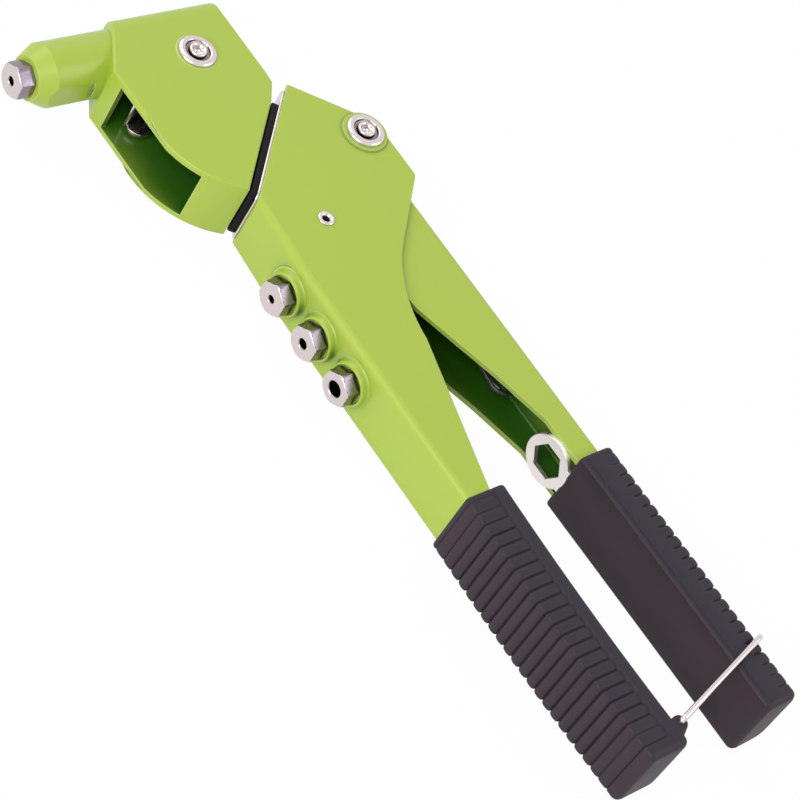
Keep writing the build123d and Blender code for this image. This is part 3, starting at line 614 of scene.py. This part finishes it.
class RIVETER_OT_nosepieces(bpy.types.Operator):
    """Cut the hexagon nosepieces, one in the nose and three on the body"""

    bl_idname = "riveter.nosepieces"
    bl_label = "Cut the nosepieces"

    def execute(self, context):
        settings = context.scene.riveter_metal
        nickel = faced_nickel(settings, "fitted_nickel", NOSE)
        self.nosepiece("fitted_nosepiece", "head", Vector((0, 0, 0)), NOSE, FITTED_HOLE, nickel)
        nickel = faced_nickel(settings, "spare_nickel", SPARE_AXIS)
        for name, hole in SPARES:
            node = "spare_nosepiece_" + name
            low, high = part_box(node)
            face = Vector(((low.x + high.x) / 2, low.y, 0))
            self.nosepiece(node, "body", face, SPARE_AXIS, hole, nickel)
        return {"FINISHED"}

    def nosepiece(self, node, body, face, axis, hole, material):
        """A chamfered hexagon with a countersunk hole in its face and a shank behind it."""
        tall, corner = HEX_TALL, HEX_FLATS / math.sqrt(3)
        place = stand(face, axis)
        bm = bmesh.new()
        # the hexagon, cut from a turned blank so that its corners are blunt
        sides, blunt = 6, corner - 0.12 * MM
        bmesh.ops.create_circle(bm, segments=sides * 8, radius=corner, cap_ends=False)
        loop = bm.edges[:]
        # each level's height, and the radius of the turned blank there
        levels = [(-tall, 5.25 * MM), (-tall + 0.45 * MM, blunt), (-0.9 * MM, blunt)]
        levels += mm((-0.45, 5.50), (-0.15, 5.15), (0.0, 4.85))
        heights = [height for height, _ in levels]
        for vert in bm.verts:
            vert.co.z = heights[0]
        for low, high in zip(heights, heights[1:]):
            verts, loop = next_ring(bm, loop)
            bmesh.ops.translate(bm, verts=verts, vec=(0, 0, high - low))
        for vert in bm.verts:
            blank = min(levels, key=lambda level: abs(level[0] - vert.co.z))[1]
            angle = math.atan2(vert.co.y, vert.co.x)
            folded = (angle + math.pi / sides) % (2 * math.pi / sides) - math.pi / sides
            edge = HEX_FLATS / 2 / math.cos(math.pi / sides - abs(folded))
            reach = min(edge, blank)
            vert.co.x, vert.co.y = reach * math.cos(angle), reach * math.sin(angle)
        # the face closes in to a countersunk hole
        for wider, height in mm((0.25, 0.0), (0.0, -0.35), (0.0, -4.5)):
            verts, loop = next_ring(bm, loop)
            for vert in verts:
                angle = math.atan2(vert.co.y, vert.co.x)
                radius = hole / 2 + wider
                vert.co = Vector((radius * math.cos(angle), radius * math.sin(angle), height))
        bmesh.ops.edgeloop_fill(bm, edges=loop)
        back = [e for e in bm.edges if e.is_boundary]
        bmesh.ops.edgeloop_fill(bm, edges=back)
        bmesh.ops.transform(bm, matrix=place, verts=bm.verts[:])
        bmesh.ops.remove_doubles(bm, verts=bm.verts[:], dist=1e-7)
        # the shank behind it
        shank = mm((0, -5.5), (3.3, -5.5), (3.45, -5.0), (3.45, 0.2), (0, 0.3))
        turned(bm, [(radius, height - tall) for radius, height in shank], 32, place)
        finish_piece(bm, node + "_cut", body, material, (node,), 22)


class RIVETER_OT_bosses(bpy.types.Operator):
    """Press the flares of the nosepiece bosses and the pads of the large pins"""

    bl_idname = "riveter.bosses"
    bl_label = "Press the bosses and pads"

    def execute(self, context):
        paint = green_paint(context.scene.riveter_paint)
        steps = context.scene.riveter_fastening.steps
        bm = bmesh.new()
        # the flat disc at the middle covers the body's own boss face, so that the paint's painted shade
        # darkens the corner inside each flare
        # the flare's radius and its height over the back of the nosepiece
        collar = mm((0, 0.04), (5.72, 0.04), (5.88, 0.5), (6.08, 0.82), (6.4, 0.88), (6.72, 0.65),
                    (6.9, 0.1), (7.02, -0.8), (7.25, -1.25), (7.7, -1.5), (8.2, -1.7), (0, -2.2))
        for name, _ in SPARES:
            low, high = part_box("spare_nosepiece_" + name)
            seat = Vector(((low.x + high.x) / 2, low.y + HEX_TALL, 0))
            turned(bm, collar, steps, stand(seat, SPARE_AXIS))
        finish_piece(bm, "boss_flares", "body", paint, (), 60)
        for name, body, centre, rise, reach in (("main_pivot_pads", "body", PIVOT, 0.5 * MM, 7.4 * MM),
                                                ("head_pin_pads", "head", HEAD_PIN, 0.12 * MM, 6.9 * MM)):
            bm = bmesh.new()
            for side in (1, -1):
                place = stand(centre + UP * side * BROAD_FACE, UP * side, Vector((1, 0, 0)))
                turned(bm, [(0, rise * 0.5), (reach - 1.6 * MM, rise), (reach - 1.1 * MM, rise * 0.8),
                            (reach - 0.6 * MM, rise * 0.35), (reach - 0.15 * MM, rise * 0.08),
                            (reach, -0.1 * MM), (0, -0.3 * MM)], steps, place)
            finish_piece(bm, name, body, paint, (), 60)
        return {"FINISHED"}


class RIVETER_OT_swivel(bpy.types.Operator):
    """Stamp the swivel's plate and cut a black slab between it and the head, which stands in for the shade in
    their gap
    """

    bl_idname = "riveter.swivel"
    bl_label = "Stamp the swivel's plate"

    def execute(self, context):
        metal = context.scene.riveter_metal
        bm = bmesh.new()
        # the plate and the step under it: reach, half width, corner radius and heights
        for reach, half, corner, heights in (((-22.2, 25.4), 10.6, 3.3, (-0.4, 0.35)),
                                             ((-9.0, 9.0), 9.6, 2.0, (-9.4, -0.3))):
            self.slab(bm, *mm(reach), half * MM, corner * MM, *mm(heights))
        finish_piece(bm, "swivel_plate_stamped", "body", nickel_plate(metal), ("swivel_plate",))
        bm = bmesh.new()
        # painted shade: a black slab fills the gap between the plate and the head, where shade falls
        self.slab(bm, *mm((-16.0, 23.6)), 10.2 * MM, 3.0 * MM, *mm((0.38, 2.3)))
        finish_piece(bm, "swivel_gap_shade", "body", gap_shade_black(metal))
        return {"FINISHED"}

    def slab(self, bm, reach, half, corner, heights):
        """A slab across the swivel's axis, with rounded corners."""
        across = SWIVEL.cross(UP)
        low, high = reach
        before = set(bm.verts)
        discs = [(along, side, corner) for along in (low + corner, high - corner)
                 for side in (-half + corner, half - corner)]
        linked_discs(bm, discs, *heights, bevel=0.12 * MM)
        made = [v for v in bm.verts if v not in before]
        turn = Matrix((-across, -UP, SWIVEL)).transposed().to_4x4()
        bmesh.ops.transform(bm, verts=made, matrix=Matrix.Translation(SWIVEL_POINT) @ turn)


class RIVETER_OT_lever(bpy.types.Operator):
    """Bend the forked lever inside the head"""

    bl_idname = "riveter.lever"
    bl_label = "Bend the head's lever"

    def execute(self, context):
        low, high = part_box("head_lever")
        short_tip = NOSE * (HEAD_PIN.dot(NOSE) - 2.1 * MM)
        inside = 6.4 * MM      # from the middle plane to each cheek of the fork
        short_end, eye, far_end = (short_tip, 2.6 * MM), (HEAD_PIN, 7.0 * MM), (LEVER_TIP, 4.2 * MM)
        bm = bmesh.new()
        for bottom, top in ((inside, high.z), (low.z, -inside)):
            for link in ((short_end, eye), (eye, far_end)):
                linked_discs(bm, [(*place.xy, radius) for place, radius in link], bottom, top, bevel=0.2 * MM)
        arm = (LEVER_TIP - HEAD_PIN).normalized()
        ahead = Vector((arm.y, -arm.x, 0))
        if ahead.dot(SWIVEL) < 0:
            ahead = -ahead
        web = LEVER_TIP + ahead * 3.2 * MM
        linked_discs(bm, [(*(web + arm * side * MM).xy, 0.9 * MM) for side in (-3.0, 2.2)],
                     low.z, high.z, 16, bevel=0.15 * MM)
        finish_piece(bm, "head_lever_forked", "head_lever", nickel_plate(context.scene.riveter_metal),
                     ("head_lever",))
        return {"FINISHED"}


class RIVETER_OT_spring(bpy.types.Operator):
    """Wind the return spring round the pivot, with its leg's ring in the handle"""

    bl_idname = "riveter.spring"
    bl_label = "Wind the return spring"

    def execute(self, context):
        settings = context.scene.riveter_fastening
        low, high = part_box("return_spring")
        radius, coil, turns = settings.spring_wire / 2, 5.6 * MM, 2
        first = high.z - settings.spring_wire * (turns - 0.5)
        ring_radius = 4.3 * MM
        ring = Vector((high.x - ring_radius - radius, PIVOT.y - 5.3 * MM, 0.5 * MM))
        path = [Vector((low.x + 2.0 * MM, low.y + radius, first)), PIVOT + Vector((-coil, -6.0 * MM, first))]
        steps, ring_steps = 28, 24
        for index in range(int(steps * (turns + 0.25)) + 1):
            turn = math.pi - 2 * math.pi * index / steps
            rise = settings.spring_wire * 1.02 * index / steps
            path.append(PIVOT + Vector((coil * math.cos(turn), coil * math.sin(turn), first + rise)))
        top = path[-1].z
        leg = ring + Vector((0, -ring_radius, 0))
        path += [PIVOT + Vector((36.0 * MM, -8.0 * MM, top)), leg]
        for index in range(1, ring_steps + 3):
            turn = -math.pi / 2 + 2 * math.pi * index / ring_steps
            path.append(ring + Vector((ring_radius * math.cos(turn), ring_radius * math.sin(turn),
                                       0.05 * MM * index)))
        bm = bmesh.new()
        wire(bm, path, radius)
        finish_piece(bm, "return_spring_wound", "handle", blackened_steel(context.scene.riveter_metal),
                     ("return_spring",), 60)
        return {"FINISHED"}


class RIVETER_OT_latch(bpy.types.Operator):
    """Bend the wire latch that holds the handles shut"""

    bl_idname = "riveter.latch"
    bl_label = "Bend the latch"

    def execute(self, context):
        radius = context.scene.riveter_fastening.latch_wire / 2
        low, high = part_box("latch_bail")
        hinge = Vector(JOINTS["latch_swing"]["pos_m"])
        side = high.z - radius
        leg_end = Vector((low.x + radius, high.y - radius, side))
        corner, hinge_bend, hinge_end = 4.0 * MM, 1.3 * MM, 7.5 * MM
        reach = leg_end + (leg_end - Vector((hinge.x, hinge.y, side))).normalized() * corner
        corners = [Vector((hinge.x, hinge.y, hinge_end)), Vector((hinge.x, hinge.y, side)), reach,
                   Vector((reach.x, reach.y, -side)), Vector((hinge.x, hinge.y, -side)),
                   Vector((hinge.x, hinge.y, -hinge_end))]
        bm = bmesh.new()
        wire(bm, rounded_path(corners, (hinge_bend, corner, corner, hinge_bend)), radius, 20)
        finish_piece(bm, "latch_bail_bent", "latch", nickel_plate(context.scene.riveter_metal),
                     ("latch_bail",), 60)
        return {"FINISHED"}


class RIVETER_OT_grips(bpy.types.Operator):
    """Mould the two ribbed grips"""

    bl_idname = "riveter.grips"
    bl_label = "Mould the grips"

    def execute(self, context):
        settings = context.scene.riveter_grips
        plastic = grip_plastic(settings)
        fixed = dict(width=15.2 * MM, bow=1.1 * MM, outer=0.9 * MM, inner=2.0 * MM, ribs=9.8 * MM,
                     crown=0.0, seam=0.0, step=5.0 * MM)
        moving = dict(width=13.6 * MM, bow=0.1 * MM, outer=3.0 * MM, inner=1.2 * MM, ribs=6.4 * MM,
                      crown=0.9 * MM, seam=0.8 * MM, step=0.0)
        bm = self.sleeve(settings, fixed)
        bmesh.ops.scale(bm, vec=(1, -1, 1), verts=bm.verts[:])
        self.set_on(bm, FIXED_GRIP_AT, -0.4)
        self.lug(bm)
        finish_piece(bm, "fixed_grip_moulded", "body", plastic, ("fixed_grip",), 32)
        bm = self.sleeve(settings, moving)
        self.set_on(bm, MOVING_GRIP_AT, 0.35)
        finish_piece(bm, "moving_grip_moulded", "handle", plastic, ("moving_grip",), 32)
        return {"FINISHED"}

    def set_on(self, bm, offset, turn):
        """Turns a sleeve by some degrees and sets its front end at an offset from the pivot."""
        matrix = Matrix.Translation((PIVOT.x + offset[0], PIVOT.y + offset[1], 0))
        bmesh.ops.transform(bm, verts=bm.verts[:],
                            matrix=matrix @ Matrix.Rotation(math.radians(turn), 4, "Z"))

    def section(self, settings, shape):
        """A sleeve's outline as (y, z, outward y, outward z, rib share, groove depth) points.

        Y runs from 0 on the smooth side to the width on the ribbed side."""
        half, width = settings.half, shape["width"]
        inner, outer = shape["inner"], shape["outer"]

        def crowned(y):
            return half - shape["crown"] * max(0.0, y / width - 0.25) ** 2

        def arc(centre_y, centre_z, radius, first, last, ribbed, count=6):
            turns = [math.radians(first + (last - first) * index / (count - 1)) for index in range(count)]
            return [(centre_y + radius * math.cos(turn), centre_z + radius * math.sin(turn),
                     math.cos(turn), math.sin(turn), ribbed, 0.0) for turn in turns]

        upper = [(0.0, share * (half - inner), -1.0, 0.0, 0.0, 0.0) for share in (0.0, 0.35, 0.7)]
        upper += arc(inner, half - inner, inner, 180, 90, 0.0)
        if shape["seam"]:
            for offset, depth in ((0.25, 0.0), (0.5, 0.35), (0.8, 0.35), (1.1, 0.1)):
                y = inner + offset * MM
                upper.append((y, crowned(y), 0.0, 1.0, 0.0, depth * MM))
        border, blend = width - shape["ribs"], 1.4 * MM     # where the ribs begin, and over how far
        for share in (0.35, 0.7):
            y = inner + (border - inner) * share
            upper.append((y, crowned(y), 0.0, 1.0, 0.0, 0.0))
        if shape["step"]:
            for offset, ribbed, depth in ((-0.9, 0.0, 0.0), (-0.45, 0.0, 0.30), (0.0, 0.3, 0.42),
                                          (0.35, 1.0, 0.15)):
                y = border + offset * MM
                upper.append((y, crowned(y), 0.0, 1.0, ribbed, depth * MM))
        else:
            upper.append((border, crowned(border), 0.0, 1.0, 0.0, 0.0))
            upper.append((border + blend, crowned(border + blend), 0.0, 1.0, 0.9, 0.0))
        last = width - outer
        for share in (0.3, 0.65):
            y = border + blend + (last - border - blend) * share
            upper.append((y, crowned(y), 0.0, 1.0, 1.0, 0.0))
        upper += arc(last, crowned(last) - outer, outer, 90, 0, 1.0)
        upper += [(width, share * (crowned(last) - outer), 1.0, 0.0, 1.0, 0.0) for share in (0.7, 0.35, 0.0)]
        lower = [(y, -z, out_y, -out_z, ribbed, depth)
                 for y, z, out_y, out_z, ribbed, depth in reversed(upper[1:-1])]
        return upper + lower

    def stations(self, settings):
        """Where the sleeve's rings stand: (distance, inset, rib groove share, seam share)."""
        ends = [(0.0, 0.9 * MM), (0.12 * MM, 0.45 * MM), (0.5 * MM, 0.1 * MM), (1.0 * MM, 0.0)]
        stations = [(distance, inset, 0.0, 0.3) for distance, inset in ends]
        first, tail, dome = 1.9 * MM, 3.6 * MM, 2.2 * MM    # the plain front, the plain tail, its end
        pitch, total = settings.pitch, settings.length
        stations.append((first - 0.3 * MM, 0.0, 0.0, 1.0))
        count = int((total - first - tail) / pitch)
        groove_shape = ((0.0, 1.0), (0.07, 0.55), (0.16, 0.22), (0.34, 0.04), (0.55, 0.0), (0.78, 0.12),
                        (0.90, 0.40), (0.97, 0.85))
        for rib in range(count):
            fade = min(1.0, 0.34 + 0.22 * rib, 0.4 + 0.3 * (count - 1 - rib))
            for share, groove in groove_shape:
                stations.append((first + (rib + share) * pitch, 0.0, groove * fade, 1.0))
        last = first + count * pitch
        stations.append((last, 0.0, 0.6, 1.0))
        stations.append((last + 0.4 * MM, 0.0, 0.1, 0.6))
        stations.append((total - dome, 0.0, 0.0, 0.3))
        for step in range(1, 6):
            turn = math.radians(18 * step)
            distance, inset = total - dome * (1 - math.sin(turn)), dome * (1 - math.cos(turn)) * 0.8
            stations.append((distance, inset, 0.0, 0.0))
        return stations

    def sleeve(self, settings, shape):
        """A moulded sleeve along +X: ribs round its outer side, a plain inner side."""
        section = self.section(settings, shape)
        bm = bmesh.new()
        bmesh.ops.create_circle(bm, segments=len(section), radius=settings.half, cap_ends=False)
        verts, loop = bm.verts[:], bm.edges[:]
        stations = self.stations(settings)
        for index, station in enumerate(stations):
            if index:
                verts, loop = next_ring(bm, loop)
            self.lay_ring(verts, section, station, settings, shape)
        for at_tail in (False, True):
            rim = [e for e in bm.edges if e.is_boundary
                   and (e.verts[0].co.x > settings.length / 2) == at_tail]
            cap = bmesh.ops.edgeloop_fill(bm, edges=rim)["faces"]
            if at_tail:
                bmesh.ops.poke(bm, faces=cap, offset=0.35 * MM)
        return bm

    def lay_ring(self, ring, section, station, settings, shape):
        """Places one ring of vertices on the sleeve's outline."""
        distance, inset, groove, seam = station
        middle = shape["width"] / 2
        bow = shape["bow"] * (1 - (2 * distance / settings.length - 1) ** 2)
        for vert, (y, z, out_y, out_z, ribbed, depth) in zip(ring, section):
            drop = settings.depth * groove * ribbed + depth * seam
            y = middle + (y - out_y * drop - middle) * (1 - inset / middle)
            z = (z - out_z * drop) * (1 - inset / settings.half)
            vert.co = Vector((distance, y + bow, z))

    def lug(self, bm):
        """The latch hinge's lug at the inner side of the fixed grip."""
        hinge = Vector(JOINTS["latch_swing"]["pos_m"])
        half = 11.7 * MM
        linked_discs(bm, ((hinge.x, hinge.y, 2.4 * MM), (hinge.x + 1.5 * MM, hinge.y - 4.0 * MM, 3.2 * MM)),
                     -half, half)


class RIVETER_OT_stage(bpy.types.Operator):
    """Set the floor, the lamps and the camera"""

    bl_idname = "riveter.stage"
    bl_label = "Set the stage"

    def execute(self, context):
        settings = context.scene.riveter_stage
        scene = context.scene
        scene.view_settings.view_transform = "Standard"
        self.floor(settings)
        self.world(scene)
        centre = (cad_box[0] + cad_box[1]) / 2
        for name, place, size, power in (
                ("key_lamp", (0.10, -1.0, 0.75), 0.9, settings.key),
                ("fill_lamp", (-0.9, 0.1, 0.8), 0.8, settings.fill),
                ("back_lamp", (0.75, 0.85, 0.9), 0.8, settings.fill)):
            self.lamp(name, Vector(place) + centre, centre, size, power)
        self.camera(scene, settings)
        return {"FINISHED"}

    def floor(self, settings):
        """A wide pale floor that looks white to the camera and keeps a soft shadow."""
        mesh = bpy.data.meshes.new("floor")
        bm = bmesh.new()
        bmesh.ops.create_grid(bm, x_segments=1, y_segments=1, size=6.0)
        bmesh.ops.translate(bm, verts=bm.verts[:], vec=(0, 0, cad_box[0].z - 0.2 * MM))
        bm.to_mesh(mesh)
        bm.free()
        floor = bpy.data.objects.new("floor", mesh)
        bpy.context.scene.collection.objects.link(floor)
        material = bpy.data.materials.new("pale_floor")
        material.use_nodes = True
        tree = material.node_tree
        shader = tree.nodes["Principled BSDF"]
        shader.inputs["Base Color"].default_value = (*settings.floor, 1.0)
        shader.inputs["Roughness"].default_value = 0.9
        glow = tree.nodes.new("ShaderNodeEmission")
        paths = tree.nodes.new("ShaderNodeLightPath")
        mix = tree.nodes.new("ShaderNodeMixShader")
        share = tree.nodes.new("ShaderNodeMath")
        share.operation = "MULTIPLY"
        share.inputs[1].default_value = 0.97
        tree.links.new(seen_directly(tree, paths), share.inputs[0])
        tree.links.new(share.outputs[0], mix.inputs[0])
        tree.links.new(shader.outputs[0], mix.inputs[1])
        tree.links.new(glow.outputs[0], mix.inputs[2])
        tree.links.new(mix.outputs[0], tree.nodes["Material Output"].inputs["Surface"])
        mesh.materials.append(material)

    def world(self, scene):
        """Even white surroundings: full white to the camera, softer as light."""
        world = bpy.data.worlds.new("studio")
        scene.world = world
        world.use_nodes = True
        tree = world.node_tree
        background = tree.nodes["Background"]
        background.inputs["Color"].default_value = (1, 1, 1, 1)
        paths = tree.nodes.new("ShaderNodeLightPath")
        strength = tree.nodes.new("ShaderNodeMapRange")
        strength.inputs[3].default_value = 0.38
        strength.inputs[4].default_value = 1.0
        tree.links.new(seen_directly(tree, paths), strength.inputs[0])
        tree.links.new(strength.outputs[0], background.inputs["Strength"])

    def lamp(self, name, place, target, size, power):
        """A square soft lamp that faces the tool."""
        data = bpy.data.lights.new(name, "AREA")
        data.size = size
        data.energy = power
        lamp = bpy.data.objects.new(name, data)
        lamp.location = place
        lamp.rotation_euler = (target - place).to_track_quat("-Z", "Y").to_euler()
        bpy.context.scene.collection.objects.link(lamp)

    def camera(self, scene, settings):
        """The camera, above the fixed handle's side, with the tool slanting down the frame."""
        place = Matrix.Translation((0.4216, -0.5421, 0.6772))
        data = bpy.data.cameras.new("camera")
        data.lens = settings.lens
        data.sensor_width = 36.0
        data.sensor_fit = "HORIZONTAL"
        data.clip_end = 20.0
        camera = bpy.data.objects.new("camera", data)
        back = Vector((0.3016, -0.6266, 0.718)).normalized()
        up = Vector((-0.7712, 0.2821, 0.570))
        up = (up - back * up.dot(back)).normalized()
        turn = Matrix((up.cross(back), up, back)).transposed().to_4x4()
        camera.matrix_world = place @ turn
        scene.collection.objects.link(camera)
        scene.camera = camera


class RIVETER_PT_panel(bpy.types.Panel):
    """The riveter's pieces, in the 3D view's sidebar"""

    bl_label = "Riveter"
    bl_idname = "RIVETER_PT_panel"
    bl_space_type = "VIEW_3D"
    bl_region_type = "UI"
    bl_category = "Riveter"

    def draw(self, context):
        for operator in OPERATORS:
            self.layout.operator(operator.bl_idname)


OPERATORS = (RIVETER_OT_paint, RIVETER_OT_metal, RIVETER_OT_pins, RIVETER_OT_nosepieces,
             RIVETER_OT_bosses, RIVETER_OT_swivel, RIVETER_OT_lever, RIVETER_OT_spring,
             RIVETER_OT_latch, RIVETER_OT_grips, RIVETER_OT_stage)
SETTINGS = (("riveter_paint", PaintSettings), ("riveter_metal", MetalSettings),
            ("riveter_grips", GripSettings), ("riveter_fastening", FasteningSettings),
            ("riveter_stage", StageSettings))


def register():
    for name, group in SETTINGS:
        bpy.utils.register_class(group)
        setattr(bpy.types.Scene, name, PointerProperty(type=group))
    for operator in OPERATORS:
        bpy.utils.register_class(operator)
    bpy.utils.register_class(RIVETER_PT_panel)


def unregister():
    bpy.utils.unregister_class(RIVETER_PT_panel)
    for operator in reversed(OPERATORS):
        bpy.utils.unregister_class(operator)
    for name, group in reversed(SETTINGS):
        delattr(bpy.types.Scene, name)
        bpy.utils.unregister_class(group)


def main():
    register()
    for operator in OPERATORS:
        family, action = operator.bl_idname.split(".")
        getattr(getattr(bpy.ops, family), action)()


if __name__ == "__main__":
    main()
